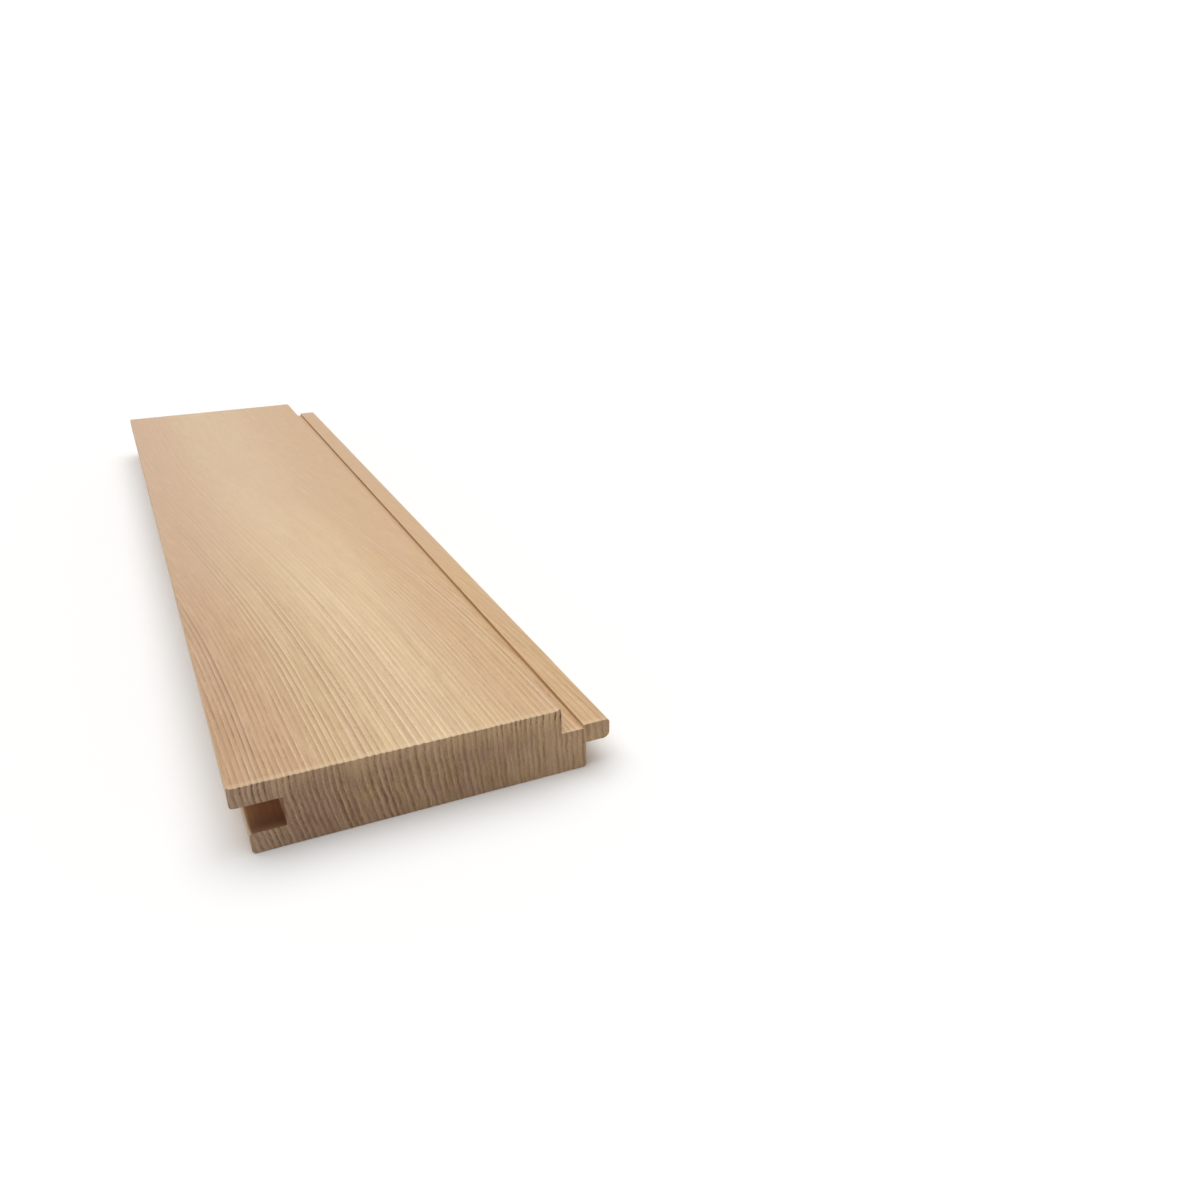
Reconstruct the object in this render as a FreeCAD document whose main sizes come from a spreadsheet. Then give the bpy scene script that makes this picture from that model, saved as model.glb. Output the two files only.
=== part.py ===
"""A tongue and groove board: one moulded length of clear softwood, lying on its back with its face up.

The board runs along Y, with its groove on the -X side and its tongue on the +X side.
The origin is in the plane of the back, under the middle of the board's whole width and length.
"""

import os

import FreeCAD
import Part
import Sketcher

# Driving dimensions, in millimetres. The groove is sized from the tongue that the next board puts into it.
DIMENSIONS = {
    "board_length": 355.6,
    "thickness": 17.46,
    "cover_width": 79.38,
    "reveal": 3.18,
    "lip_setback": 3.18,
    "upper_lip": 5.16,
    "tongue_thickness": 5.1,
    "tongue_length": 6.35,
    "room_above_tongue": 0.44,
    "room_below_tongue": 1.6,
    "room_at_nose": 1.59,
    "ledge_width": 5.8,
    "ledge_drop": 1.0,
    "face_arris_radius": 0.4,
    "lip_arris_radius": 1.0,
    "mouth_arris_radius": 0.5,
    "back_arris_radius": 1.0,
    "nose_top_radius": 0.9,
    "nose_under_radius": 1.8,
}

# The section's upright lines from the groove side to the tongue side, and its level lines from back to face.
COLUMNS = ("lip", "lower_lip", "groove_wall", "shoulder", "step", "lower_shoulder", "nose")
ROWS = ("back", "groove_floor", "tongue_under", "ledge", "tongue_top", "groove_ceiling", "face")

# Corners of the section, in order round its outline, each on one upright and one level line.
CORNERS = (
    ("lip", "face"),
    ("lip", "groove_ceiling"),
    ("groove_wall", "groove_ceiling"),
    ("groove_wall", "groove_floor"),
    ("lower_lip", "groove_floor"),
    ("lower_lip", "back"),
    ("lower_shoulder", "back"),
    ("lower_shoulder", "tongue_under"),
    ("nose", "tongue_under"),
    ("nose", "tongue_top"),
    ("step", "tongue_top"),
    ("step", "ledge"),
    ("shoulder", "ledge"),
    ("shoulder", "face"),
)

# Widths and heights that set the section: name, from one line to the next, and the size between them.
WIDTHS = (
    ("face_width", "lip", "shoulder", "<<Dimensions>>.cover_width - <<Dimensions>>.reveal"),
    ("lip_setback", "lip", "lower_lip", "<<Dimensions>>.lip_setback"),
    ("groove_depth", "lower_lip", "groove_wall", "<<Dimensions>>.tongue_length + <<Dimensions>>.room_at_nose"),
    ("back_width", "lower_lip", "lower_shoulder", "<<Dimensions>>.cover_width"),
    ("tongue_length", "lower_shoulder", "nose", "<<Dimensions>>.tongue_length"),
    ("ledge_width", "shoulder", "step", "<<Dimensions>>.ledge_width"),
)
HEIGHTS = (
    ("thickness", "back", "face", "<<Dimensions>>.thickness"),
    ("upper_lip", "groove_ceiling", "face", "<<Dimensions>>.upper_lip"),
    (
        "groove_height",
        "groove_floor",
        "groove_ceiling",
        "<<Dimensions>>.tongue_thickness + <<Dimensions>>.room_above_tongue + <<Dimensions>>.room_below_tongue",
    ),
    ("tongue_depth", "tongue_top", "face", "<<Dimensions>>.upper_lip + <<Dimensions>>.room_above_tongue"),
    ("tongue_thickness", "tongue_under", "tongue_top", "<<Dimensions>>.tongue_thickness"),
    ("ledge_drop", "ledge", "tongue_top", "<<Dimensions>>.ledge_drop"),
)
HALF_WIDTH = "(<<Dimensions>>.lip_setback + <<Dimensions>>.cover_width + <<Dimensions>>.tongue_length) / 2"

# Rounded arrises: name, the corners that each one runs along, and its radius.
ARRISES = (
    ("FaceArrises", (("lip", "face"), ("shoulder", "face")), "face_arris_radius"),
    ("LipArris", (("lip", "groove_ceiling"),), "lip_arris_radius"),
    ("MouthArris", (("lower_lip", "groove_floor"),), "mouth_arris_radius"),
    ("BackArrises", (("lower_lip", "back"), ("lower_shoulder", "back")), "back_arris_radius"),
    ("NoseTop", (("nose", "tongue_top"),), "nose_top_radius"),
    ("NoseUnder", (("nose", "tongue_under"),), "nose_under_radius"),
)

START_OF_LINE = 1
END_OF_LINE = 2
SKETCH_ORIGIN = (-1, 1)
LEVEL_AXIS = -1
ROUGH_SPACING = 10.0
SAME_PLACE = 1e-4


def make_sheet(doc):
    """The sheet of driving dimensions, one named cell for each."""
    sheet = doc.addObject("Spreadsheet::Sheet", "Dimensions")
    for row, (name, value) in enumerate(DIMENSIONS.items(), start=1):
        sheet.set(f"A{row}", name)
        sheet.set(f"B{row}", str(value))
        sheet.setAlias(f"B{row}", name)
    doc.recompute()
    return sheet


def origin_plane(body, role):
    """The plane of the body's own origin that has this role."""
    return next(plane for plane in body.Origin.OriginFeatures if plane.Role == role)


def rough_place(corner):
    """A corner's place on an even grid, from which the sizes below move it to its true place."""
    column, row = corner
    return FreeCAD.Vector(COLUMNS.index(column) * ROUGH_SPACING, ROWS.index(row) * ROUGH_SPACING, 0)


def line_at(place, axis):
    """The first outline line that starts on the named upright (axis 0) or level (axis 1) line."""
    return next(index for index, corner in enumerate(CORNERS) if corner[axis] == place)


def draw_section(body):
    """The board's section, square-cornered and fully set by the sheet."""
    section = body.newObject("Sketcher::SketchObject", "Section")
    section.AttachmentSupport = [(origin_plane(body, "XZ_Plane"), "")]
    section.MapMode = "FlatFace"
    following = CORNERS[1:] + CORNERS[:1]
    for corner, next_corner in zip(CORNERS, following):
        section.addGeometry(Part.LineSegment(rough_place(corner), rough_place(next_corner)), False)
    for line, (corner, next_corner) in enumerate(zip(CORNERS, following)):
        next_line = (line + 1) % len(CORNERS)
        section.addConstraint(Sketcher.Constraint("Coincident", line, END_OF_LINE, next_line, START_OF_LINE))
        direction = "Vertical" if corner[0] == next_corner[0] else "Horizontal"
        section.addConstraint(Sketcher.Constraint(direction, line))
    for axis, kind, sizes in ((0, "DistanceX", WIDTHS), (1, "DistanceY", HEIGHTS)):
        for name, near, far, size in sizes:
            ends = (line_at(near, axis), START_OF_LINE, line_at(far, axis), START_OF_LINE)
            add_size(section, name, kind, ends, size)
    back_line = line_at("back", 1)
    section.addConstraint(Sketcher.Constraint("PointOnObject", back_line, START_OF_LINE, LEVEL_AXIS))
    ends = (line_at("lip", 0), START_OF_LINE, *SKETCH_ORIGIN)
    add_size(section, "half_width", "DistanceX", ends, HALF_WIDTH)
    body.Document.recompute()
    return section


def add_size(section, name, kind, ends, size):
    """A named size between two points of the section, bound to the sheet."""
    index = section.addConstraint(Sketcher.Constraint(kind, *ends, ROUGH_SPACING))
    section.renameConstraint(index, name)
    section.setExpression(f"Constraints.{name}", size)


def extrude_section(body, section):
    """The square-cornered board, half of its length to each side of the section."""
    board = body.newObject("PartDesign::Pad", "Length")
    board.Profile = section
    board.SideType = "Symmetric"
    board.setExpression("Length", "<<Dimensions>>.board_length")
    body.Document.recompute()
    return board


def edges_along(shape, section, corners):
    """Names of the edges that run the board's length over these corners of its section."""
    names = []
    for corner in corners:
        place = section.Geometry[CORNERS.index(corner)].StartPoint
        for number, edge in enumerate(shape.Edges, start=1):
            ends = [vertex.Point for vertex in edge.Vertexes]
            if all(abs(end.x - place.x) < SAME_PLACE and abs(end.z - place.y) < SAME_PLACE for end in ends):
                names.append(f"Edge{number}")
    return names


def round_arrises(body, section):
    """The eased and rounded arrises, one feature for each radius."""
    for name, corners, radius in ARRISES:
        before = body.Tip
        arris = body.newObject("PartDesign::Fillet", name)
        arris.Base = (before, edges_along(before.Shape, section, corners))
        arris.setExpression("Radius", f"<<Dimensions>>.{radius}")
        body.Document.recompute()


def make_board(doc):
    """The whole board as one body."""
    body = doc.addObject("PartDesign::Body", "Board")
    body.Label = "board"
    section = draw_section(body)
    extrude_section(body, section)
    round_arrises(body, section)
    return body


def check(doc, bodies):
    """Stop if anything in the document failed, or a piece isn't one sound solid."""
    for item in doc.Objects:
        if {"Invalid", "Error"} & set(item.State):
            raise RuntimeError(f"{item.Label} failed: {item.State}")
    for body in bodies:
        shape = body.Shape
        if shape.isNull() or not shape.isValid() or len(shape.Solids) != 1:
            raise RuntimeError(f"{body.Label} isn't one valid solid")


def main():
    """Build the document and write each piece to its own file."""
    doc = FreeCAD.newDocument("TongueAndGrooveBoard")
    make_sheet(doc)
    bodies = [make_board(doc)]
    doc.recompute()
    check(doc, bodies)
    os.makedirs("parts", exist_ok=True)
    for body in bodies:
        body.Shape.exportStep(f"parts/{body.Label}.step")
        box = body.Shape.BoundBox
        print(f"{body.Label}: {box.XLength:.2f} x {box.YLength:.2f} x {box.ZLength:.2f} mm,"
              f" {body.Shape.Volume / 1000:.1f} cm3")


main()
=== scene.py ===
"""Looks of a tongue and groove board: planed, straight-grained softwood with sawn ends, on a pale floor.

Lengths on the board are in millimetres, in the part's own frame, and become metres where its mesh is made.
The floor and the camera are in metres.
"""

import math

import bpy
import numpy as np
from mathutils import Matrix
from mathutils import Vector
from mathutils.geometry import delaunay_2d_cdt


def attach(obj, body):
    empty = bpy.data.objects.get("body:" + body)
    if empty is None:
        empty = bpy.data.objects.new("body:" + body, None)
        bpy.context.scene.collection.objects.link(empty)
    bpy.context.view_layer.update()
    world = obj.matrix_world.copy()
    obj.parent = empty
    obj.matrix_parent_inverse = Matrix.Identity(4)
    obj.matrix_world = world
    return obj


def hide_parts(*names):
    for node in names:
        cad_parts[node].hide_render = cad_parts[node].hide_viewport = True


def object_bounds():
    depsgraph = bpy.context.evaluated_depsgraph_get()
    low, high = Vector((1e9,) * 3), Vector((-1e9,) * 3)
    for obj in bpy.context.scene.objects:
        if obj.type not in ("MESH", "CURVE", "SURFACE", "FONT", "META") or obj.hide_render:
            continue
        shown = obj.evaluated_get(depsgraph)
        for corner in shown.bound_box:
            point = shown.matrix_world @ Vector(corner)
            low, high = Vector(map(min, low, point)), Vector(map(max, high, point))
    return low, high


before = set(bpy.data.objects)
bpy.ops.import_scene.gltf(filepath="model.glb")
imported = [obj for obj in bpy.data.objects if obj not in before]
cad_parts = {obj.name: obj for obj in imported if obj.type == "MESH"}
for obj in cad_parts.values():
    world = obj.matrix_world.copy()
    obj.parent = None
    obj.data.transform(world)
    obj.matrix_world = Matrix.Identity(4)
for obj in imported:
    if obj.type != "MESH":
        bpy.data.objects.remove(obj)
cad_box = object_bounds()

MM_PER_M = 1000.0
SAME_PLACE = 1e-3

# The board's box, as packed
LOWEST = np.array(cad_box[0]) * MM_PER_M
HIGHEST = np.array(cad_box[1]) * MM_PER_M
LIP_EDGE = LOWEST[0]
NEAR_END = LOWEST[1]
FAR_END = HIGHEST[1]
BACK = LOWEST[2]
FACE = HIGHEST[2]
LENGTH = FAR_END - NEAR_END
THICKNESS = FACE - BACK

# The looks of a surface, in the order of the board's materials
PLANED, EDGE, GROOVE, SAWN = range(4)

# Longest steps between the mesh's points, across each surface and along the board
FACE_STEP = 0.25
BACK_STEP = 0.8
LEVEL_STEP = 0.5
UPRIGHT_STEP = 1.0
SHORT_STEP = 0.45
ROW_STEP = 2.8
ROWS_AT_END = (0.9, 2.2)

# The points over a sawn end: steps across and down, least distance from its rim, and the step of the search
END_STEP_ACROSS = 0.25
END_STEP_DOWN = 0.7
END_MARGIN = 0.16
END_SEARCH_STEP = 0.05

# The triangles between those points: only the ones inside the rim, and how near two points count as one
ONLY_INSIDE = 1
WELD_DISTANCE = 1e-6

# How far outwards to a side a surface faces before it counts as upright, and the angle of a sharp edge
UPRIGHT_SHARE = 0.7
SHARP_ANGLE = math.radians(50.0)

# The growth rings: mean width, and waves that make some closer and some wider (size, length, start)
RING_WIDTH = 1.453
RING_START = 0.94
RING_WAVES = ((0.81, 8.0, 4.61), (0.15, 2.3, 3.91), (0.15, 4.0, 4.06), (0.08, 1.7, 4.76))
STRENGTH_STEP = 1.86
STRENGTH_GAIN = 14.1
RIDGE_SHARE = 0.78
RIDGE_LEAST = 0.55

# Bands of bolder rings on the face: where each one is, and how far it reaches to both sides
BOLD_BANDS = ((7.6, 0.9), (23.4, 2.0), (30.5, 1.2), (39.4, 0.1), (42.0, 0.8), (47.9, 0.1), (75.6, 0.5))
BOLD_EDGE = 0.6

# How the rings run: they lean away from the groove with depth, and drift to the groove side along the board
LEAN_AT_GROOVE = 2.9
LEAN_AT_TONGUE = 0.6
LEAN_FROM = 28.0
LEAN_TO = 72.0
LEAN_TOP = 2.5
LEAN_POWER = 1.3
DRIFT_LEAST = 0.032
DRIFT_MORE = 0.060
DRIFT_BEND = 52.0

# Small waves of the rings: size, and the lengths of the wave along the board, across it and down it
WANDERS = ((0.07, 21.0, 9.0, 40.0), (0.03, 7.3, -4.1, 9.0), (0.06, 50.0, 5.3, 1.1), (0.035, 50.0, -2.3, 0.45))

# The rings on an upright side, which is cut along them: spread over its height, in long waves
EDGE_SPREAD = 0.30
EDGE_WAVES = ((2.2, 70.0, 19.0), (0.35, 23.0, 6.0))

# Relief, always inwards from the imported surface
FACE_RELIEF = 0.11
SIDE_RELIEF = 0.04
END_RELIEF = 0.18
RIM_RELIEF = 0.05
RELIEF_FADE = (40.0, 220.0)
RELIEF_LEAST = 0.45

# The worn arrises of the ends, and the rounding of the face's long arrises, as packed
ARRIS_LEAST = 0.08
ARRIS_MORE = 0.27
ARRIS_TAPER = 1.2
FACE_ROUND = 0.4

# How far the ends' corners are worn back, and how near to a corner that starts
CORNER_WEAR = 0.55
CORNER_REACH = 1.1


def smooth(low, high, value):
    """An even ease from 0 at low to 1 at high."""
    share = np.clip((value - low) / (high - low), 0.0, 1.0)
    return share * share * (3.0 - 2.0 * share)


def grain_at(x, y, z):
    """Which growth ring a point is in, as millimetres across the face at the near end."""
    across = x - LIP_EDGE
    along = y - NEAR_END
    depth = np.clip((FACE - z - LEAN_TOP) / (THICKNESS - LEAN_TOP), 0.0, 1.0)
    lean = LEAN_AT_GROOVE + (LEAN_AT_TONGUE - LEAN_AT_GROOVE) * smooth(LEAN_FROM, LEAN_TO, across)
    drift = DRIFT_LEAST * along + DRIFT_MORE * (along - DRIFT_BEND * np.sin(along / DRIFT_BEND))
    grain = across + drift - lean * depth**LEAN_POWER
    for size, length, width, height in WANDERS:
        grain = grain + size * np.sin(along / length + across / width + z / height)
    return grain


def edge_grain_at(x, y, z):
    """Which growth ring a point of an upright side is in."""
    grain = x + EDGE_SPREAD * z
    for size, length, width in EDGE_WAVES:
        grain = grain + size * np.sin(y / length + x / width)
    return grain


def ring_ridge(grain):
    """The height of the growth rings' ridges, from 0 between them to 1 along the strongest."""
    phase = grain / RING_WIDTH + RING_START
    for size, length, start in RING_WAVES:
        phase = phase + size * np.sin(grain / length + start)
    number = np.floor(phase)
    strength = np.mod(STRENGTH_GAIN * np.sin(STRENGTH_STEP * number), 1.0)
    wave = 0.5 + 0.5 * np.cos(2.0 * np.pi * (phase - number - RIDGE_SHARE))
    return wave * (RIDGE_LEAST + (1.0 - RIDGE_LEAST) * strength)


def section_outline(node):
    """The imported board's section: (x, z) points in order round its near end."""
    mesh = node.data
    places = np.empty(len(mesh.vertices) * 3, np.float32)
    mesh.vertices.foreach_get("co", places)
    places = np.round(places.reshape(-1, 3).astype(float) * MM_PER_M, 4)
    sides = {}
    for polygon in mesh.polygons:
        corners = [tuple(places[index]) for index in polygon.vertices]
        if max(corner[1] for corner in corners) > NEAR_END + SAME_PLACE:
            continue
        for corner, next_corner in zip(corners, corners[1:] + corners[:1]):
            if (next_corner, corner) in sides:
                del sides[(next_corner, corner)]
            else:
                sides[(corner, next_corner)] = True
    next_of = dict(sides.keys())
    start = next(iter(next_of))
    loop = [start]
    while next_of[loop[-1]] != start:
        loop.append(next_of[loop[-1]])
    return np.array([(x, z) for x, _, z in loop])


def groove_limits(outline):
    """The groove's wall, floor and ceiling, from the innermost side that faces the groove's mouth."""
    walls = []
    for corner, next_corner in zip(outline, np.roll(outline, -1, axis=0)):
        upright = abs(corner[0] - next_corner[0]) < SAME_PLACE
        if upright and next_corner[1] < corner[1] and corner[0] < 0.0:
            walls.append((corner[0], next_corner[1], corner[1]))
    return max(walls)


def step_for(corner, next_corner):
    """The longest step along one straight part of the section."""
    if abs(corner[1] - next_corner[1]) > SAME_PLACE:
        return UPRIGHT_STEP
    if abs(corner[1] - FACE) < SAME_PLACE:
        return FACE_STEP
    if abs(corner[1] - BACK) < SAME_PLACE:
        return BACK_STEP
    return LEVEL_STEP


def divided(outline):
    """The section with its straight parts divided. The short steps round its arrises stay as they are."""
    points = []
    for corner, next_corner in zip(outline, np.roll(outline, -1, axis=0)):
        length = np.linalg.norm(next_corner - corner)
        parts = 1
        if length > SHORT_STEP:
            parts = math.ceil(length / step_for(corner, next_corner))
        for part in range(parts):
            points.append(corner + (next_corner - corner) * part / parts)
    return np.array(points)


def outward(points):
    """The outward direction at each point of a closed section."""
    ahead = np.roll(points, -1, axis=0) - points
    ahead = ahead / np.linalg.norm(ahead, axis=1, keepdims=True)
    both = ahead + np.roll(ahead, 1, axis=0)
    both = both / np.linalg.norm(both, axis=1, keepdims=True)
    return np.stack([both[:, 1], -both[:, 0]], axis=1)


class Section:
    """The board's divided section, with what its mesh needs to know at each point."""

    def __init__(self, outline):
        self.points = divided(outline)
        self.x, self.z = self.points.T
        self.directions = outward(self.points)
        self.upright = np.abs(self.directions[:, 0]) > UPRIGHT_SHARE
        self.on_face = np.abs(self.z - FACE) < SAME_PLACE
        self.face_edge = self.x[self.on_face].max()
        self.groove = groove_limits(outline)
        self.relief = np.where(self.on_face, FACE_RELIEF, SIDE_RELIEF)
        face_share = np.clip(1.0 - (FACE - self.z) / FACE_ROUND, 0.0, 1.0)
        self.rim_relief = RIM_RELIEF + (END_RELIEF - RIM_RELIEF) * face_share

    def looks(self):
        """The look of each strip along the board, from one point of the section to the next."""
        wall, floor, ceiling = self.groove
        middle = (self.points + np.roll(self.points, -1, axis=0)) / 2.0
        in_height = (middle[:, 1] > floor - SAME_PLACE) & (middle[:, 1] < ceiling + SAME_PLACE)
        in_groove = in_height & (middle[:, 0] < wall + SAME_PLACE)
        looks = np.where(self.upright & np.roll(self.upright, -1), EDGE, PLANED)
        return np.where(in_groove, GROOVE, looks).tolist()

    def arris(self, end):
        """How wide the worn arris of an end is at each point."""
        from_corner = np.minimum(self.x - LIP_EDGE, self.face_edge - self.x)
        worn = np.where(self.on_face, smooth(0.0, ARRIS_TAPER, from_corner), 0.0)
        return ARRIS_LEAST + ARRIS_MORE * worn * (1.0 - ring_ridge(grain_at(self.x, end, self.z)))

    def corner_wear(self, x, z):
        """How far an end is worn back near the corners of the face."""
        worn = np.zeros_like(x)
        for corner_x in (LIP_EDGE, self.face_edge + FACE_ROUND):
            distance = np.hypot(x - corner_x, z - FACE)
            worn = np.maximum(worn, CORNER_WEAR * (1.0 - smooth(0.0, CORNER_REACH, distance)))
        return worn


def rows_along():
    """Places along the board of the rows of points between its two arrises."""
    first = NEAR_END + ROWS_AT_END[-1]
    last = FAR_END - ROWS_AT_END[-1]
    middle = np.linspace(first, last, math.ceil((last - first) / ROW_STEP) + 1)
    near = [NEAR_END + distance for distance in ROWS_AT_END[:-1]]
    far = [FAR_END - distance for distance in reversed(ROWS_AT_END[:-1])]
    return np.concatenate([near, middle, far])


def end_ring(section, end, inwards):
    """The points round the section where the worn arris of an end meets the board's length."""
    sunk = section.rim_relief * (1.0 - ring_ridge(grain_at(section.x, end, section.z)))
    sunk = section.arris(end) + sunk + section.corner_wear(section.x, section.z)
    return np.stack([section.x, end + inwards * sunk, section.z], axis=1)


def with_relief(section, ring):
    """A ring of points round the section, moved inwards between the ridges of the growth rings."""
    ridge = ring_ridge(np.where(section.upright, edge_grain_at(*ring.T), grain_at(*ring.T)))
    kept = 1.0 - (1.0 - RELIEF_LEAST) * smooth(*RELIEF_FADE, ring[:, 1] - NEAR_END)
    sunk = section.relief * kept * (1.0 - ridge)
    placed = ring.copy()
    placed[:, 0] -= section.directions[:, 0] * sunk
    placed[:, 2] -= section.directions[:, 1] * sunk
    return placed


def length_rings(section):
    """Rings of points round the section: at the near arris, in rows along the board, and at the far arris."""
    rings = [end_ring(section, NEAR_END, 1.0)]
    for y in rows_along():
        rings.append(np.stack([section.x, np.full_like(section.x, y), section.z], axis=1))
    rings.append(end_ring(section, FAR_END, -1.0))
    return [with_relief(section, ring) for ring in rings]


def strip_between(first, second, count):
    """Faces between two closed rings of points, which start at these places in the list of points."""
    faces = []
    for place in range(count):
        after = (place + 1) % count
        faces.append((first + place, second + place, second + after, first + after))
    return faces


def inside(points, polygon):
    """Which points are in a closed polygon."""
    found = np.zeros(len(points), bool)
    for corner, next_corner in zip(polygon, np.roll(polygon, -1, axis=0)):
        if corner[1] == next_corner[1]:
            continue
        crosses = (points[:, 1] < corner[1]) != (points[:, 1] < next_corner[1])
        share = (points[:, 1] - corner[1]) / (next_corner[1] - corner[1])
        found ^= crosses & (points[:, 0] < corner[0] + share * (next_corner[0] - corner[0]))
    return found


def distance_to(points, polygon):
    """How far each point is from the nearest side of a closed polygon."""
    nearest = np.full(len(points), np.inf)
    for corner, next_corner in zip(polygon, np.roll(polygon, -1, axis=0)):
        side = next_corner - corner
        share = np.clip(((points - corner) @ side) / (side @ side), 0.0, 1.0)
        nearest = np.minimum(nearest, np.linalg.norm(points - corner - share[:, None] * side, axis=1))
    return nearest


def end_points(rim, y):
    """Points over a sawn end, in lines that follow its growth rings."""
    across = np.arange(LOWEST[0], HIGHEST[0], END_SEARCH_STEP)
    lines = []
    for number, z in enumerate(np.arange(BACK + END_STEP_DOWN / 2.0, FACE, END_STEP_DOWN)):
        grain = grain_at(across, y, z)
        offset = END_STEP_ACROSS / 2.0 * (number % 2)
        wanted = np.arange(grain[0] + offset, grain[-1], END_STEP_ACROSS)
        x = np.interp(wanted, grain, across)
        lines.append(np.stack([x, np.full_like(x, z)], axis=1))
    points = np.concatenate(lines)
    points = points[inside(points, rim)]
    return points[distance_to(points, rim) > END_MARGIN]


def end_triangles(rim, points, y):
    """Triangles of a sawn end, as places in the list of its rim and then its points."""
    every = np.concatenate([rim, points])
    grain = grain_at(every[:, 0], y, every[:, 1])
    flat = [Vector((g / END_STEP_ACROSS, z / END_STEP_DOWN)) for g, z in zip(grain, every[:, 1])]
    sides = [(place, (place + 1) % len(rim)) for place in range(len(rim))]
    _, _, triangles, origins, _, _ = delaunay_2d_cdt(flat, sides, [], ONLY_INSIDE, WELD_DISTANCE)
    return [[origins[place][0] for place in triangle] for triangle in triangles]


def sawn_cap(section, end, inwards):
    """A sawn end: its points, first round its rim and then over it, and its triangles."""
    rim = section.points - section.directions * section.arris(end)[:, None]
    field = end_points(rim, end)
    every = np.concatenate([rim, field])
    depth = np.concatenate([section.rim_relief, np.full(len(field), END_RELIEF)])
    sunk = depth * (1.0 - ring_ridge(grain_at(every[:, 0], end, every[:, 1])))
    sunk = sunk + section.corner_wear(*every.T)
    places = np.stack([every[:, 0], end + inwards * sunk, every[:, 1]], axis=1)
    return places, end_triangles(rim, field, end)


def board_mesh(outline):
    """The board's whole surface: its length with relief along the grain, worn arrises and two sawn ends."""
    section = Section(outline)
    count = len(section.points)
    rings = length_rings(section)
    last = len(rings) - 1
    faces = []
    for row in range(last):
        faces.extend(strip_between(row * count, (row + 1) * count, count))
    looks = section.looks() * last
    places = np.concatenate(rings)
    for end, inwards, ring in ((NEAR_END, 1.0, 0), (FAR_END, -1.0, last)):
        cap_places, triangles = sawn_cap(section, end, inwards)
        first = len(places)
        cap = [tuple(first + place for place in triangle) for triangle in triangles]
        sawn = cap + strip_between(first, ring * count, count)
        if end == FAR_END:
            sawn = [face[::-1] for face in sawn]
        faces.extend(sawn)
        looks.extend([SAWN] * len(cap))
        looks.extend(PLANED if on_face else SAWN for on_face in section.on_face)
        places = np.concatenate([places, cap_places])
    return places, faces, looks


class Pattern:
    """Adds shader nodes to a tree and links them, so that a pattern reads as a formula."""

    def __init__(self, tree):
        self.tree = tree

    def put(self, socket, value):
        """Link a socket to another node's output, or set it to a plain value."""
        if isinstance(value, bpy.types.NodeSocket):
            self.tree.links.new(value, socket)
        else:
            socket.default_value = value

    def math(self, operation, *values):
        """The result of a sum on numbers."""
        node = self.tree.nodes.new("ShaderNodeMath")
        node.operation = operation
        for socket, value in zip(node.inputs, values):
            self.put(socket, value)
        return node.outputs["Value"]

    def times(self, *values):
        """The product of numbers."""
        product = values[0]
        for value in values[1:]:
            product = self.math("MULTIPLY", product, value)
        return product

    def ease(self, value, low, high, first=0.0, last=1.0):
        """An even ease from first at low to last at high."""
        node = self.tree.nodes.new("ShaderNodeMapRange")
        node.interpolation_type = "SMOOTHSTEP"
        names = ("Value", "From Min", "From Max", "To Min", "To Max")
        for name, part in zip(names, (value, low, high, first, last)):
            self.put(node.inputs[name], part)
        return node.outputs["Result"]

    def mix(self, share, first, second):
        """One colour laid over another."""
        node = self.tree.nodes.new("ShaderNodeMix")
        node.data_type = "RGBA"
        colours = [socket for socket in node.inputs if socket.type == "RGBA"]
        self.put(node.inputs["Factor"], share)
        self.put(colours[0], first)
        self.put(colours[1], second)
        return next(socket for socket in node.outputs if socket.type == "RGBA")

    def vector(self, x, y, z):
        """Three numbers as one vector."""
        node = self.tree.nodes.new("ShaderNodeCombineXYZ")
        for socket, value in zip(node.inputs, (x, y, z)):
            self.put(socket, value)
        return node.outputs["Vector"]

    def noise(self, place, scale, detail=2.0, roughness=0.5):
        """Smooth noise, mostly between 0.3 and 0.7."""
        node = self.tree.nodes.new("ShaderNodeTexNoise")
        self.put(node.inputs["Vector"], place)
        self.put(node.inputs["Scale"], scale)
        self.put(node.inputs["Detail"], detail)
        self.put(node.inputs["Roughness"], roughness)
        return node.outputs["Fac"]

    def ramp(self, value, stops):
        """A colour from a row of (place, colour) stops."""
        node = self.tree.nodes.new("ShaderNodeValToRGB")
        node.color_ramp.interpolation = "EASE"
        elements = node.color_ramp.elements
        while len(elements) < len(stops):
            elements.new(1.0)
        for element, (place, colour) in zip(elements, stops):
            element.position = place
            element.color = colour
        self.put(node.inputs["Fac"], value)
        return node.outputs["Color"]


WOOD_GLOSS = 0.3


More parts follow.
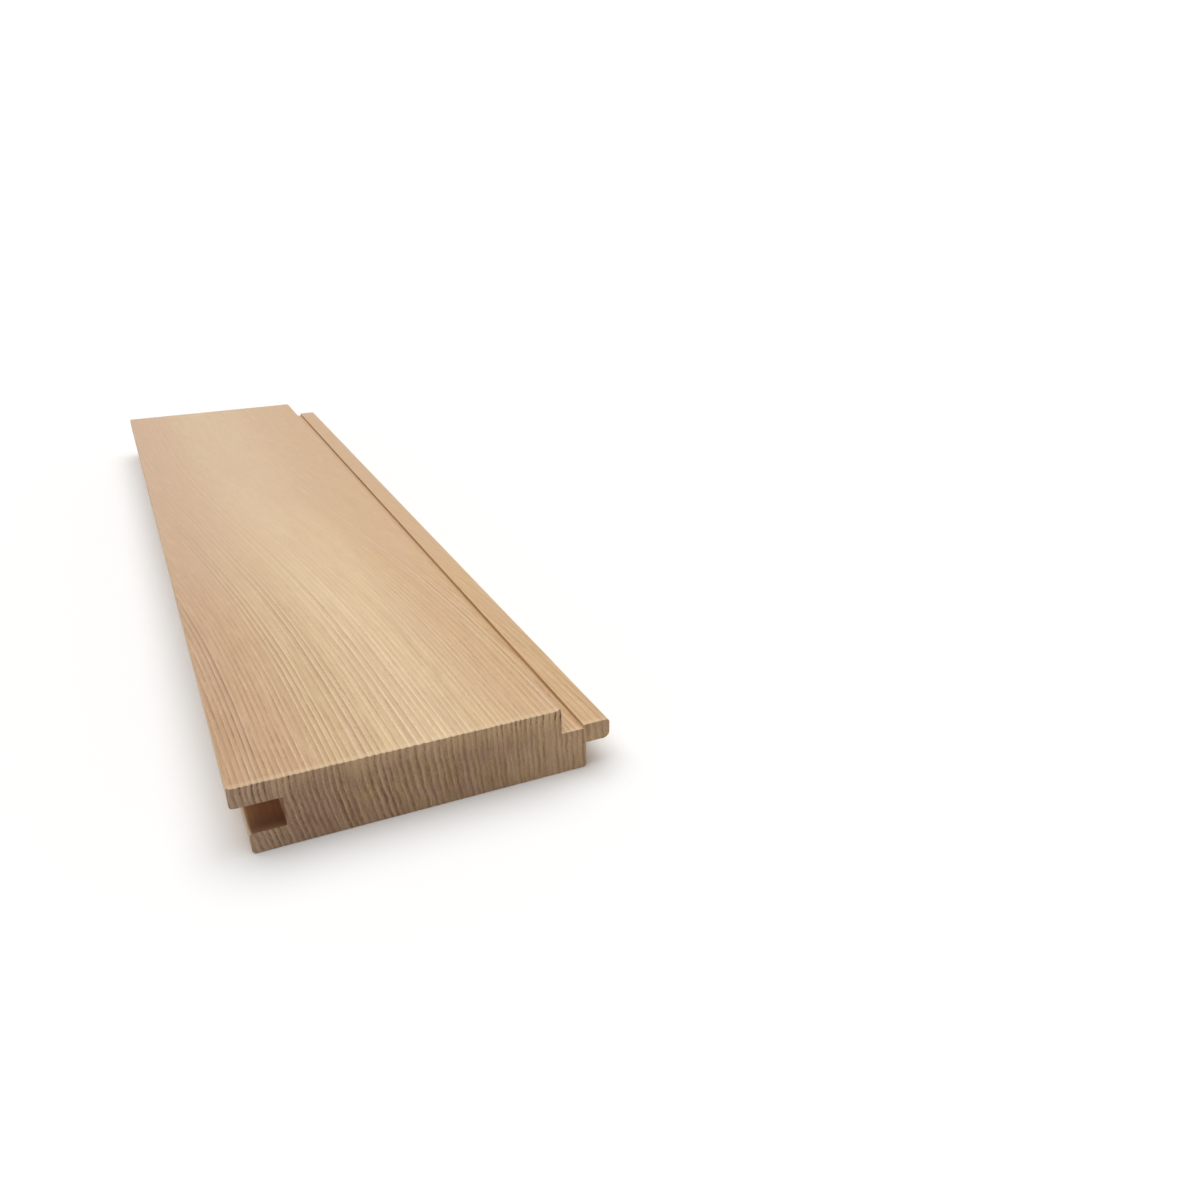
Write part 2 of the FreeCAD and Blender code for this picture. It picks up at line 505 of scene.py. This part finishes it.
class Wood(Pattern):
    """A wood material that is being made, with the values that its pattern starts from, by name."""

    def __init__(self, name, grain_name):
        self.material = bpy.data.materials.new(name)
        self.material.use_nodes = True
        super().__init__(self.material.node_tree)
        attribute = self.tree.nodes.new("ShaderNodeAttribute")
        attribute.attribute_name = grain_name
        self.grain = attribute.outputs["Fac"]
        coordinates = self.tree.nodes.new("ShaderNodeTexCoord")
        parts = self.tree.nodes.new("ShaderNodeSeparateXYZ")
        self.put(parts.inputs[0], coordinates.outputs["Object"])
        x, y, self.z = [self.math("MULTIPLY", part, MM_PER_M) for part in parts.outputs]
        self.across = self.math("SUBTRACT", x, LIP_EDGE)
        self.along = self.math("SUBTRACT", y, NEAR_END)
        to_end = self.math("MINIMUM", self.along, self.math("SUBTRACT", LENGTH, self.along))
        depth = self.math("SUBTRACT", FACE, self.z)
        self.values = {"across": self.across, "along": self.along, "to_end": to_end, "depth": depth}
        self.ring_share, self.ring_strength = self.ring_parts()

    def ring_parts(self):
        """How far through its growth ring a point is, and how strong that ring is, both from 0 to 1."""
        phase = self.math("MULTIPLY_ADD", self.grain, 1.0 / RING_WIDTH, RING_START)
        for size, length, start in RING_WAVES:
            turn = self.math("MULTIPLY_ADD", self.grain, 1.0 / length, start)
            phase = self.math("MULTIPLY_ADD", self.math("SINE", turn), size, phase)
        number = self.math("FLOOR", phase)
        share = self.math("SUBTRACT", phase, number)
        spin = self.math("SINE", self.math("MULTIPLY", number, STRENGTH_STEP))
        strength = self.math("FLOORED_MODULO", self.math("MULTIPLY", spin, STRENGTH_GAIN), 1.0)
        return share, strength

    def ring_line(self, rise, fall, least):
        """One line in each ring: where in the ring it rises and falls, and how strong the weakest is."""
        weight = self.math("MULTIPLY_ADD", self.ring_strength, 1.0 - least, least)
        rising = self.ease(self.ring_share, *rise)
        falling = self.ease(self.ring_share, *fall, 1.0, 0.0)
        return self.times(rising, falling, weight)

    def boldness(self):
        """How far a point is in one of the bands of bolder rings, from 0 to 1."""
        bold = 0.0
        for place, reach in BOLD_BANDS:
            distance = self.math("ABSOLUTE", self.math("SUBTRACT", self.grain, place))
            bold = self.math("MAXIMUM", bold, self.ease(distance, reach, reach + BOLD_EDGE, 1.0, 0.0))
        return bold

    def streaks(self, scale, stretch, detail=2.0, roughness=0.5):
        """Noise that is drawn out along the board, and runs with the grain."""
        place = self.vector(self.grain, self.math("MULTIPLY", self.along, stretch), self.z)
        return self.noise(place, scale, detail, roughness)

    def down_rings(self, across, down, *noise):
        """Noise that runs down a sawn end with its rings, drawn out by a share across them and one down."""
        place = self.vector(self.times(self.grain, across), self.times(self.z, down), self.along)
        return self.noise(place, *noise)

    def share(self, eases):
        """The product of eases, each of one named value."""
        return self.times(*[self.ease(self.values[name], *ease) for name, ease in eases])

    def tinted(self, colour, tints):
        """A colour with tints laid over it in order, each by its own share."""
        for tint, eases in tints:
            colour = self.mix(self.share(eases), colour, tint)
        return colour

    def finish(self, colour, roughness, height, depth, bump, gloss=WOOD_GLOSS):
        """The material, with the pattern joined to its shader."""
        shader = self.tree.nodes["Principled BSDF"]
        self.put(shader.inputs["Base Color"], colour)
        self.put(shader.inputs["Roughness"], roughness)
        shader.inputs["Specular IOR Level"].default_value = gloss
        relief = self.tree.nodes.new("ShaderNodeBump")
        relief.inputs["Strength"].default_value = bump
        relief.inputs["Distance"].default_value = depth / MM_PER_M
        self.put(relief.inputs["Height"], height)
        self.put(shader.inputs["Normal"], relief.outputs["Normal"])
        return self.material


# Colours of the planed wood's ground from the groove side to the tongue side, at the near end and far from it
GRAIN_SPAN = 110.0
FACE_SPAN = 76.2
FACE_BANDS = (
    (0.02, (0.470, 0.285, 0.158, 1.0)),
    (0.13, (0.520, 0.330, 0.184, 1.0)),
    (0.24, (0.574, 0.400, 0.217, 1.0)),
    (0.40, (0.677, 0.503, 0.296, 1.0)),
    (0.50, (0.660, 0.475, 0.270, 1.0)),
    (0.62, (0.582, 0.384, 0.210, 1.0)),
    (0.80, (0.575, 0.380, 0.196, 1.0)),
    (1.00, (0.560, 0.375, 0.220, 1.0)),
)
FAR_BANDS = (
    (0.08, (0.545, 0.375, 0.260, 1.0)),
    (0.45, (0.580, 0.421, 0.282, 1.0)),
    (1.00, (0.556, 0.376, 0.236, 1.0)),
)
FAR_SLANT = -0.5
FAR_EASE = (-20.0, 240.0, 0.0, 0.75)

# Colours that are laid over the ground
PINK_COLOUR = (0.560, 0.370, 0.245, 1.0)
LATE_COLOUR = (0.330, 0.190, 0.098, 1.0)
DEEP_COLOUR = (0.150, 0.080, 0.040, 1.0)
PALE_COLOUR = (0.760, 0.590, 0.390, 1.0)
BRIGHT_COLOUR = (0.860, 0.690, 0.470, 1.0)
FLECK_COLOUR = (0.260, 0.140, 0.070, 1.0)

# Noise that runs with the planed wood's grain: scale, stretch along the board, detail and roughness
PLANED_NOISE = {
    "long_gaps": (0.8, 0.05, 2.0, 0.6),
    "short_gaps": (1.4, 0.36, 3.0, 0.65),
    "fibre": (3.2, 0.03, 4.0, 0.62),
    "thread": (1.5, 0.035, 2.0, 0.55),
    "cloud": (0.11, 0.16),
    "streak": (0.55, 0.012),
    "mottle": (0.50, 0.24, 2.0, 0.6),
    "fleck": (4.5, 0.14, 1.0),
}

# The lines of the planed wood: where they lie in a ring, and how strong the weakest is
PLANED_LATE = ((0.44, 0.82), (0.89, 1.0), 0.40)
PLANED_EARLY = ((0.0, 0.06), (0.08, 0.42), 0.40)

# How strong the lines are: gaps in them, and how common and bold ones fade along the board and across it.
# Each ease names a value, the span over which it acts, and what it gives at both ends of that span.
GAPS = (("long_gaps", (0.36, 0.60, 0.40, 1.0)), ("short_gaps", (0.34, 0.62, 0.52, 1.22)))
COMMON_LINES = (("along", (-10.0, 140.0, 1.00, 0.17)), ("across", (34.0, 58.0, 1.10, 0.80)))
BOLD_LINES = (("along", (32.0, 185.0, 0.76, 0.17)), ("gaps", (0.2, 0.9, 0.8, 1.1)))
EARLY_FADES = (("along", (50.0, 130.0, 0.66, 0.90)), ("across", (9.0, 18.0, 0.38, 1.0)))
LATE_FADES = (("along", (50.0, 130.0, 0.70, 0.48)),)
FINE_ALONG = ("along", (30.0, 160.0, 1.0, 0.30))

# By the groove the lines are dark on a paler ground, and past the middle they are pale on a darker one
DARK_LINES = (("across", (9.0, 18.0, 1.0, 0.0)),)
PALE_LINES = (("across", (34.0, 44.0, 0.0, 1.0)), ("across", (60.0, 68.0, 1.0, 0.0)))
EARLY_MORE_WHERE_PALE = 0.20
LATE_MORE_WHERE_PALE = -0.45

# Tints of the planed wood, before its lines and after them: the colour, and the eases that make its share
PLANED_GROUND = (
    (LATE_COLOUR, (("streak", (0.40, 0.72, 0.0, 0.22)), ("along", (30.0, 140.0, 1.0, 0.12)))),
    (LATE_COLOUR, (("mottle", (0.32, 0.48, 0.06, 0.0)),)),
    (PALE_COLOUR, (("mottle", (0.54, 0.72, 0.0, 0.10)),)),
    (PINK_COLOUR, (("cloud", (0.42, 0.66, 0.0, 0.30)),)),
    (LATE_COLOUR, (*PALE_LINES, ("along", (10.0, 90.0, 0.09, 0.0)))),
)
PLANED_FIBRES = (
    (LATE_COLOUR, (("fibre", (0.30, 0.50, 0.13, 0.0)), FINE_ALONG)),
    (PALE_COLOUR, (("fibre", (0.52, 0.74, 0.0, 0.18)), FINE_ALONG)),
    (LATE_COLOUR, (("thread", (0.32, 0.48, 0.15, 0.0)), FINE_ALONG)),
    (PALE_COLOUR, (("thread", (0.54, 0.70, 0.0, 0.18)), FINE_ALONG)),
)
FLECKS = (("fleck", (0.61, 0.71)),)
FLECK_SHARE = 0.45
# A painted highlight: a pale band on the face just behind the near end's arris
PAINTED_ARRIS_HIGHLIGHT = ((PALE_COLOUR, (("along", (0.3, 2.2, 0.30, 0.0)),)),)

# Roughness and bump of the planed wood: what each pattern adds to them, and the bump's depth and strength
PLANED_ROUGHNESS = 0.50
FIBRE_ROUGHNESS = 0.25
LATE_ROUGHNESS = -0.10
FIBRE_HEIGHT = 0.9
LATE_HEIGHT = 0.5
FLECK_HEIGHT = -0.4
PLANED_BUMP = (0.06, 0.55)


def planed_ground(wood):
    """The colour of the planed wood between its lines: paler and darker bands along the board."""
    band = wood.times(wood.math("ADD", wood.grain, wood.across), 0.5 / GRAIN_SPAN)
    far_colour = wood.ramp(wood.math("DIVIDE", wood.across, FACE_SPAN), FAR_BANDS)
    reach = wood.math("MULTIPLY_ADD", wood.across, FAR_SLANT, wood.along)
    colour = wood.mix(wood.ease(reach, *FAR_EASE), wood.ramp(band, FACE_BANDS), far_colour)
    return wood.tinted(colour, PLANED_GROUND)


def planed_wood():
    """Wood as the moulder leaves it: fine lines along the board, with paler and darker bands."""
    wood = Wood("wood_planed", "grain")
    for name, noise in PLANED_NOISE.items():
        wood.values[name] = wood.streaks(*noise)
    wood.values["gaps"] = wood.share(GAPS)
    bold = wood.boldness()
    wood.ring_strength = wood.math("MAXIMUM", wood.ring_strength, bold)
    late = wood.ring_line(*PLANED_LATE)
    early = wood.ring_line(*PLANED_EARLY)
    common_lines = wood.times(wood.share(COMMON_LINES), wood.values["gaps"])
    more = wood.math("SUBTRACT", wood.share(BOLD_LINES), common_lines)
    clear = wood.math("MULTIPLY_ADD", more, bold, common_lines)
    pale_lines = wood.share(PALE_LINES)
    early_share = wood.times(early, clear, wood.share(EARLY_FADES))
    early_share = wood.times(early_share, wood.math("MULTIPLY_ADD", pale_lines, EARLY_MORE_WHERE_PALE, 1.0))
    late_share = wood.times(late, clear, wood.share(LATE_FADES))
    late_share = wood.times(late_share, wood.math("MULTIPLY_ADD", pale_lines, LATE_MORE_WHERE_PALE, 1.0))
    fleck = wood.times(wood.share(FLECKS), clear)

    colour = planed_ground(wood)
    colour = wood.mix(early_share, colour, wood.mix(pale_lines, PALE_COLOUR, BRIGHT_COLOUR))
    colour = wood.mix(late_share, colour, wood.mix(wood.share(DARK_LINES), LATE_COLOUR, DEEP_COLOUR))
    colour = wood.tinted(colour, PLANED_FIBRES)
    colour = wood.mix(wood.times(fleck, FLECK_SHARE), colour, FLECK_COLOUR)
    # Painted highlight along the face's near arris
    colour = wood.tinted(colour, PAINTED_ARRIS_HIGHLIGHT)

    fibre = wood.values["fibre"]
    roughness = wood.math("MULTIPLY_ADD", fibre, FIBRE_ROUGHNESS, PLANED_ROUGHNESS)
    roughness = wood.math("MULTIPLY_ADD", late, LATE_ROUGHNESS, roughness)
    height = wood.math("MULTIPLY_ADD", late, LATE_HEIGHT, wood.times(fibre, FIBRE_HEIGHT))
    height = wood.times(height, wood.share((FINE_ALONG,)))
    height = wood.math("MULTIPLY_ADD", fleck, FLECK_HEIGHT, height)
    return wood.finish(colour, roughness, height, *PLANED_BUMP)


# Colours of the upright sides, and the painted shade of the groove, which starts inside the lip and is darker
# still near the ends
EDGE_COLOUR = (0.590, 0.415, 0.255, 1.0)
GROOVE_PAINTED_SHADE_COLOUR = (0.455, 0.250, 0.138, 1.0)
PAINTED_SHADE_COLOUR = (0.080, 0.036, 0.018, 1.0)
INSIDE_LIP = (("across", (3.0, 4.2)),)
PAINTED_SHADE_REACH = 9.0

# Their noise, lines, tints, roughness and bump, as for the planed wood
EDGE_FIBRE = (3.0, 0.03, 4.0, 0.62)
EDGE_CLOUD_SCALE = 0.12
EDGE_CLOUD_STRETCH = 0.12
EDGE_LATE = ((0.15, 0.80), (0.86, 1.0), 0.3)
EDGE_CLOUDS = ((FLECK_COLOUR, (("cloud", (0.40, 0.66, 0.0, 0.25)),)),)
EDGE_FIBRES = (
    (LATE_COLOUR, (("fibre", (0.30, 0.50, 0.22, 0.0)),)),
    (PALE_COLOUR, (("fibre", (0.54, 0.76, 0.0, 0.16)),)),
)
EDGE_ROUGHNESS = 0.55
EDGE_FIBRE_ROUGHNESS = 0.2
EDGE_BUMP = (0.05, 0.5)


def edge_wood(name, base, late_share, painted_shade_share, gloss):
    """Planed wood that is cut along its growth rings, as on an upright side: broad, quiet lines. In the
    groove, its darker base and its darkening near the ends are painted shade.
    """
    wood = Wood(name, "edge_grain")
    cloud_place = wood.vector(wood.z, wood.times(wood.along, EDGE_CLOUD_STRETCH), wood.across)
    fibre = wood.streaks(*EDGE_FIBRE)
    wood.values["cloud"] = wood.noise(cloud_place, EDGE_CLOUD_SCALE)
    wood.values["fibre"] = fibre
    # In the groove, the darker base from just inside the lip is painted shade
    colour = wood.mix(wood.share(INSIDE_LIP), EDGE_COLOUR, base)
    colour = wood.tinted(colour, EDGE_CLOUDS)
    colour = wood.mix(wood.times(wood.ring_line(*EDGE_LATE), late_share), colour, LATE_COLOUR)
    colour = wood.tinted(colour, EDGE_FIBRES)
    # Painted shade, darker towards the board's ends; only the groove's wood has it
    painted_shade_by_end = wood.ease(wood.values["to_end"], 0.0, PAINTED_SHADE_REACH, painted_shade_share, 0.0)
    colour = wood.mix(painted_shade_by_end, colour, PAINTED_SHADE_COLOUR)
    roughness = wood.math("MULTIPLY_ADD", fibre, EDGE_FIBRE_ROUGHNESS, EDGE_ROUGHNESS)
    return wood.finish(colour, roughness, fibre, *EDGE_BUMP, gloss)


# Colours of the sawn ends
END_EARLY = (0.312, 0.194, 0.106, 1.0)
END_LATE = (0.120, 0.064, 0.029, 1.0)
END_PALE = (0.510, 0.348, 0.202, 1.0)
END_OLIVE = (0.312, 0.216, 0.098, 1.0)
END_MAUVE = (0.300, 0.180, 0.122, 1.0)
END_GREY = (0.350, 0.240, 0.168, 1.0)
END_SHADE = (0.255, 0.150, 0.104, 1.0)

# Noise over a sawn end: scale, detail and roughness. Down its rings, the stretches across and down are first.
BLOTCH = (0.16,)
PATCH = (0.35, 3.0, 0.6)
PITS = (3.2, 4.0, 0.72)
DOWN_RINGS = {
    "torn": (1.6, 0.45, 1.6, 3.0, 0.6),
    "split": (2.4, 0.22, 1.0, 2.0, 0.6),
    "band": (0.9, 0.10, 1.0, 1.0),
}

# Tints of a sawn end, before its lines and after them: the colour, and the eases that make its share. The
# paling towards the face and towards the back edge is painted light.
END_GROUND = (
    (END_MAUVE, (("blotch", (0.38, 0.62)),)),
    (END_OLIVE, (("patch", (0.45, 0.68, 0.0, 0.6)),)),
    (END_SHADE, (("across", (8.0, 13.0, 0.0, 0.75)), ("across", (18.0, 30.0, 1.0, 0.0)))),
    # Painted light: paler towards the face, weaker by the groove and stronger by the tongue
    (
        END_PALE,
        (
            ("depth", (0.4, 6.0, 0.54, 0.0)),
            ("across", (10.0, 30.0, 0.50, 1.0)),
            ("across", (54.0, 68.0, 1.0, 1.45)),
        ),
    ),
    # Painted light: paler and greyer towards the back edge, against the floor's shade there
    (END_GREY, (("depth", (12.5, 17.2, 0.0, 0.18)),)),
    (END_PALE, (("across", (52.0, 80.0, 0.0, 0.50)),)),
    (END_GREY, (("across", (3.0, 16.0, 0.75, 0.0)),)),
    (END_LATE, (("band", (0.30, 0.50, 0.28, 0.0)),)),
    (END_PALE, (("band", (0.52, 0.72, 0.0, 0.28)),)),
)
END_ROUGH = (
    (END_LATE, (("split", (0.30, 0.46, 0.30, 0.0)),)),
    (END_PALE, (("split", (0.54, 0.70, 0.0, 0.28)),)),
    (END_LATE, (("pits", (0.30, 0.48, 0.46, 0.0)),)),
    (END_PALE, (("pits", (0.54, 0.70, 0.0, 0.30)),)),
)

# The lines of a sawn end: where they lie in a ring, their shares, and how they fade over the end
SAWN_LATE = ((0.40, 0.78), (0.86, 1.0), 0.30)
SAWN_EARLY = ((0.0, 0.12), (0.14, 0.48), 0.30)
SAWN_LATE_SHARE = 0.62
SAWN_EARLY_SHARE = 0.50
SAWN_LINES = (
    ("torn", (0.33, 0.60, 0.20, 1.10)),
    ("across", (38.0, 56.0, 1.18, 0.76)),
    ("depth", (13.0, 16.5, 1.0, 0.8)),
)

# Their strength just below the face, which grows from the middle to both sides, and lower down by the groove
TICKS_FROM_MIDDLE = (10.0, 34.0, 0.85, 1.65)
TICKS_BY_TONGUE = (("across", (48.0, 66.0, 0.0, 0.90)),)
TICK_DEPTH = (0.8, 4.6)
BOLDER_LOW = (("across", (34.0, 42.0, 0.20, 0.0)), ("depth", (4.0, 7.0)))

# Roughness and bump of a sawn end, as for the planed wood
SAWN_ROUGHNESS = 0.72
PIT_ROUGHNESS = 0.2
PIT_HEIGHT = 0.8
TORN_HEIGHT = 0.5
SAWN_LATE_HEIGHT = -0.3
SAWN_BUMP = (0.14, 0.7)


def tick_strength(wood):
    """How strong the lines of a sawn end are, by their depth below the face."""
    from_middle = wood.math("ABSOLUTE", wood.math("SUBTRACT", wood.across, FACE_SPAN / 2.0))
    ticked = wood.ease(from_middle, *TICKS_FROM_MIDDLE)
    ticked = wood.math("ADD", ticked, wood.share(TICKS_BY_TONGUE))
    strength = wood.ease(wood.values["depth"], *TICK_DEPTH, ticked, 1.0)
    return wood.math("ADD", strength, wood.share(BOLDER_LOW))


def sawn_end():
    """Wood sawn across the grain: darker, with the growth rings as rough ridges."""
    wood = Wood("wood_sawn_end", "grain")
    place = wood.vector(wood.across, wood.z, wood.along)
    wood.values["blotch"] = wood.noise(place, *BLOTCH)
    wood.values["patch"] = wood.noise(wood.vector(wood.z, wood.across, wood.along), *PATCH)
    wood.values["pits"] = wood.noise(place, *PITS)
    for name, noise in DOWN_RINGS.items():
        wood.values[name] = wood.down_rings(*noise)
    late = wood.ring_line(*SAWN_LATE)
    early = wood.ring_line(*SAWN_EARLY)
    clear = wood.times(wood.share(SAWN_LINES), tick_strength(wood))

    colour = wood.tinted(END_EARLY, END_GROUND)
    colour = wood.mix(wood.times(early, clear, SAWN_EARLY_SHARE), colour, END_PALE)
    colour = wood.mix(wood.times(late, clear, SAWN_LATE_SHARE), colour, END_LATE)
    colour = wood.tinted(colour, END_ROUGH)

    pits = wood.values["pits"]
    roughness = wood.math("MULTIPLY_ADD", pits, PIT_ROUGHNESS, SAWN_ROUGHNESS)
    height = wood.math("MULTIPLY_ADD", wood.values["torn"], TORN_HEIGHT, wood.times(pits, PIT_HEIGHT))
    height = wood.math("MULTIPLY_ADD", late, SAWN_LATE_HEIGHT, height)
    return wood.finish(colour, roughness, height, *SAWN_BUMP)


def make_board():
    """The board as one piece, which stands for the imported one."""
    places, faces, looks = board_mesh(section_outline(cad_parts["board"]))
    mesh = bpy.data.meshes.new("tongue_and_groove_board")
    mesh.from_pydata((places / MM_PER_M).tolist(), [], faces)
    for name, rings_at in (("grain", grain_at), ("edge_grain", edge_grain_at)):
        attribute = mesh.attributes.new(name, "FLOAT", "POINT")
        attribute.data.foreach_set("value", rings_at(*places.T).astype(np.float32))
    mesh.materials.append(planed_wood())
    mesh.materials.append(
        edge_wood("wood_edge", base=EDGE_COLOUR, late_share=0.30, painted_shade_share=0.0, gloss=WOOD_GLOSS)
    )
    # The groove's wood is the edge wood with painted shade: darker throughout, and darker still near the ends
    mesh.materials.append(
        edge_wood("wood_groove_painted_shade", base=GROOVE_PAINTED_SHADE_COLOUR, late_share=0.15, painted_shade_share=0.50, gloss=0.05)
    )
    mesh.materials.append(sawn_end())
    mesh.polygons.foreach_set("material_index", looks)
    mesh.polygons.foreach_set("use_smooth", [True] * len(faces))
    mesh.set_sharp_from_angle(angle=SHARP_ANGLE)
    board = bpy.data.objects.new("tongue_and_groove_board", mesh)
    bpy.context.scene.collection.objects.link(board)
    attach(board, "root")
    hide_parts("board")


FLOOR_RADIUS = 60.0
FLOOR_DROP = 0.00003
FLOOR_COLOUR = (0.88, 0.88, 0.875, 1.0)
FLOOR_ROUGHNESS = 0.9
FLOOR_GLOSS = 0.1


def make_floor():
    """A wide, plain, pale floor."""
    corners = [(-FLOOR_RADIUS, -FLOOR_RADIUS), (FLOOR_RADIUS, -FLOOR_RADIUS)]
    corners += [(FLOOR_RADIUS, FLOOR_RADIUS), (-FLOOR_RADIUS, FLOOR_RADIUS)]
    mesh = bpy.data.meshes.new("floor")
    mesh.from_pydata([(x, y, -FLOOR_DROP) for x, y in corners], [], [(0, 1, 2, 3)])
    material = bpy.data.materials.new("pale_floor")
    material.use_nodes = True
    shader = material.node_tree.nodes["Principled BSDF"]
    shader.inputs["Base Color"].default_value = FLOOR_COLOUR
    shader.inputs["Roughness"].default_value = FLOOR_ROUGHNESS
    shader.inputs["Specular IOR Level"].default_value = FLOOR_GLOSS
    mesh.materials.append(material)
    floor = bpy.data.objects.new("floor", mesh)
    bpy.context.scene.collection.objects.link(floor)


SUN_STRENGTH = 2.75
SUN_ANGLE = math.radians(75.0)
SUN_TILT = math.radians(14.0)
SKY_COLOUR = (1.0, 1.0, 1.0, 1.0)
SKY_HORIZON = 1.05
SKY_ABOVE = 0.22
SKY_EDGE = (0.16, 0.50)


def light_scene():
    """One broad soft light from overhead, and a dim room that is white low down and behind the board."""
    lamp = bpy.data.lights.new("overhead", "SUN")
    lamp.energy = SUN_STRENGTH
    lamp.angle = SUN_ANGLE
    overhead = bpy.data.objects.new("overhead", lamp)
    overhead.rotation_euler = (-SUN_TILT, 0.0, 0.0)
    bpy.context.scene.collection.objects.link(overhead)
    world = bpy.data.worlds.new("room")
    world.use_nodes = True
    bpy.context.scene.world = world
    pattern = Pattern(world.node_tree)
    coordinates = world.node_tree.nodes.new("ShaderNodeTexCoord")
    parts = world.node_tree.nodes.new("ShaderNodeSeparateXYZ")
    pattern.put(parts.inputs[0], coordinates.outputs["Generated"])
    strength = pattern.ease(parts.outputs["Z"], *SKY_EDGE, SKY_HORIZON, SKY_ABOVE)
    backdrop = world.node_tree.nodes.new("ShaderNodeLightPath").outputs["Is Camera Ray"]
    strength = pattern.math("MAXIMUM", strength, pattern.times(backdrop, SKY_HORIZON))
    background = world.node_tree.nodes["Background"]
    background.inputs["Color"].default_value = SKY_COLOUR
    pattern.put(background.inputs["Strength"], strength)
    bpy.context.scene.view_settings.view_transform = "Standard"


CAMERA_PLACE = Vector((-0.051775, -0.373366, 0.139134))
CAMERA_TURN = math.radians(25.598)
CAMERA_DOWN = math.radians(23.699)
CAMERA_ROLL = math.radians(-0.156)
CAMERA_LENS = 30.835
CAMERA_SENSOR = 36.0


def place_camera():
    """The camera, where it stood for the photograph."""
    data = bpy.data.cameras.new("camera")
    data.lens = CAMERA_LENS
    data.sensor_width = CAMERA_SENSOR
    camera = bpy.data.objects.new("camera", data)
    turn = Matrix.Rotation(-CAMERA_TURN, 4, "Z")
    tilt = Matrix.Rotation(math.pi / 2.0 - CAMERA_DOWN, 4, "X")
    roll = Matrix.Rotation(CAMERA_ROLL, 4, "Z")
    camera.matrix_world = Matrix.Translation(CAMERA_PLACE) @ turn @ tilt @ roll
    bpy.context.scene.collection.objects.link(camera)
    bpy.context.scene.camera = camera


make_board()
make_floor()
light_scene()
place_camera()
